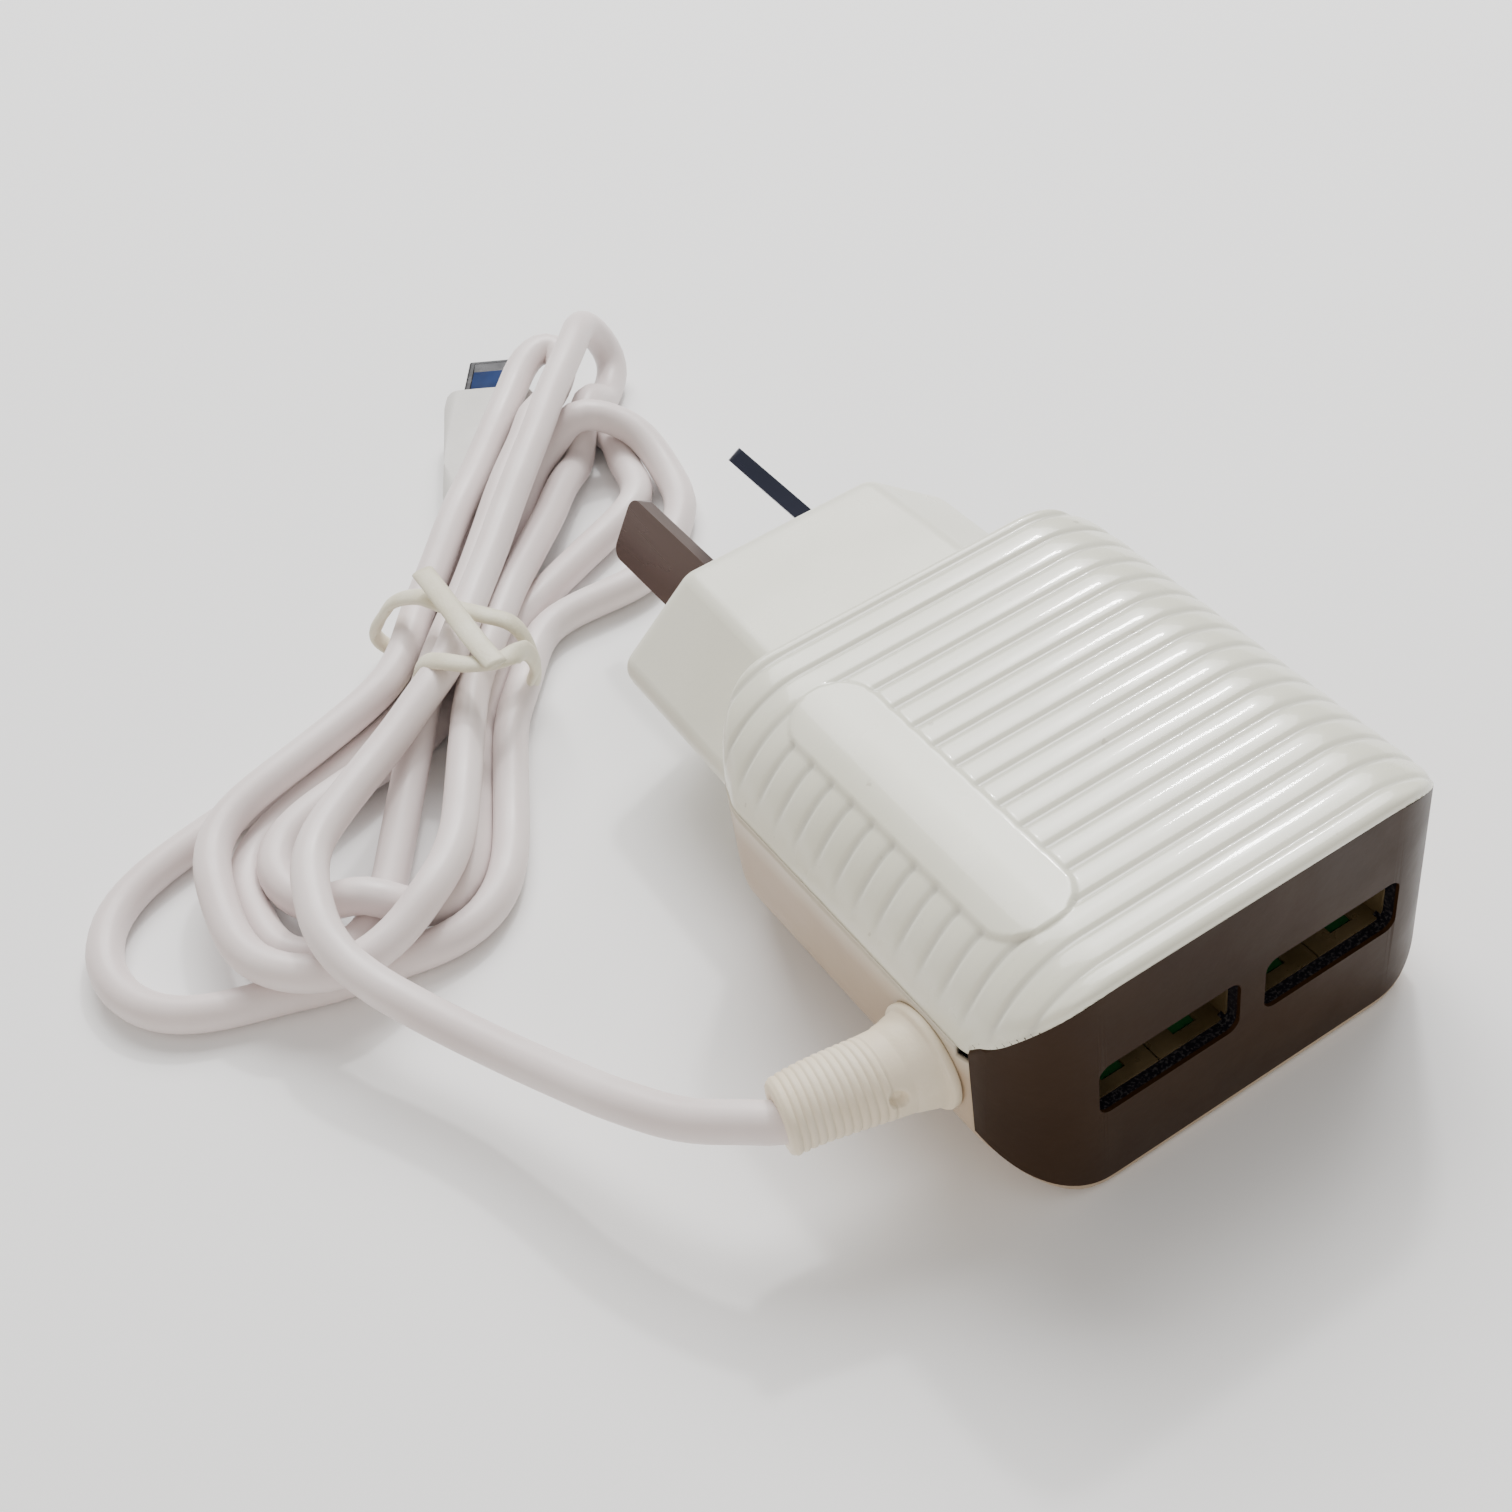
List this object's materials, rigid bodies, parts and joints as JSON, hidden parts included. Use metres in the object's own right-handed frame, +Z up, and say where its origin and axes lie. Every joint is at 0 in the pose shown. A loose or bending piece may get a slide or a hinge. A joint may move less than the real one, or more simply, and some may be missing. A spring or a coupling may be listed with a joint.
{
  "type": "usb wall charger",
  "caption": "Wall charger with a ribbed cover, USB sockets in a dark front panel, flat mains blades set in a V, and a fixed bundled charging cord with a small plug.",
  "frame": {"origin": "on the resting surface, under the middle of the charger without its cord", "axes": "+Z up out of the ribbed cover, -Y out of the USB sockets, +Y along the mains blades"},
  "size_m": [0.0938, 0.1258, 0.0244],
  "materials": {
    "cover_white": "glossy moulded white plastic with ribs",
    "shell_white": "satin moulded white plastic",
    "block_white": "satin moulded white plastic",
    "panel_brown": "dark brown glossy plastic",
    "blade_metal": "nickel-plated brass",
    "socket_steel": "tinned steel sheet",
    "socket_plastic": "black plastic",
    "contact_gold": "gold-plated contacts",
    "board_green": "glass-fibre board with solder mask",
    "ferrite": "sintered ferrite",
    "bobbin_black": "black phenolic",
    "tape_yellow": "polyester tape over copper winding",
    "capacitor_sleeve": "shrink sleeve with aluminium top",
    "chip_black": "moulded epoxy",
    "resistor_green": "cement-coated resistor",
    "disc_blue": "epoxy-dipped disc",
    "wire_red": "wire insulation",
    "relief_cream": "soft moulded plastic",
    "cord_white": "satin PVC jacket",
    "tie_cream": "coated tie strip",
    "plug_grey": "moulded plastic",
    "plug_metal": "polished plated steel"
  },
  "bodies": {
    "root": {"top_cover": "cover_white", "lower_shell": "shell_white", "front_panel": "panel_brown", "plug_block": "block_white", "blade_left": "blade_metal", "blade_right": "blade_metal", "mains_leads": "wire_red", "main_board": "board_green", "usb_shell_left": "socket_steel", "usb_shell_right": "socket_steel", "usb_tongue_left": "socket_plastic", "usb_tongue_right": "socket_plastic", "usb_contacts_left": "contact_gold", "usb_contacts_right": "contact_gold", "transformer_core": "ferrite", "transformer_bobbin": "bobbin_black", "transformer_winding": "tape_yellow", "input_capacitors": "capacitor_sleeve", "output_capacitors": "capacitor_sleeve", "bridge_rectifier": "chip_black", "fusible_resistor": "resistor_green", "y_capacitor": "disc_blue", "optocoupler": "chip_black", "controller_chip": "chip_black", "output_diode": "chip_black", "chip_resistors": "chip_black", "strain_relief": "relief_cream", "cord_wires": "wire_red", "cord_lead": "cord_white", "cord_hank": "cord_white", "twist_tie": "tie_cream", "plug_overmould": "plug_grey", "plug_shell": "plug_metal", "plug_tongue": "socket_plastic", "plug_contacts": "contact_gold"}
  },
  "joints": []
}
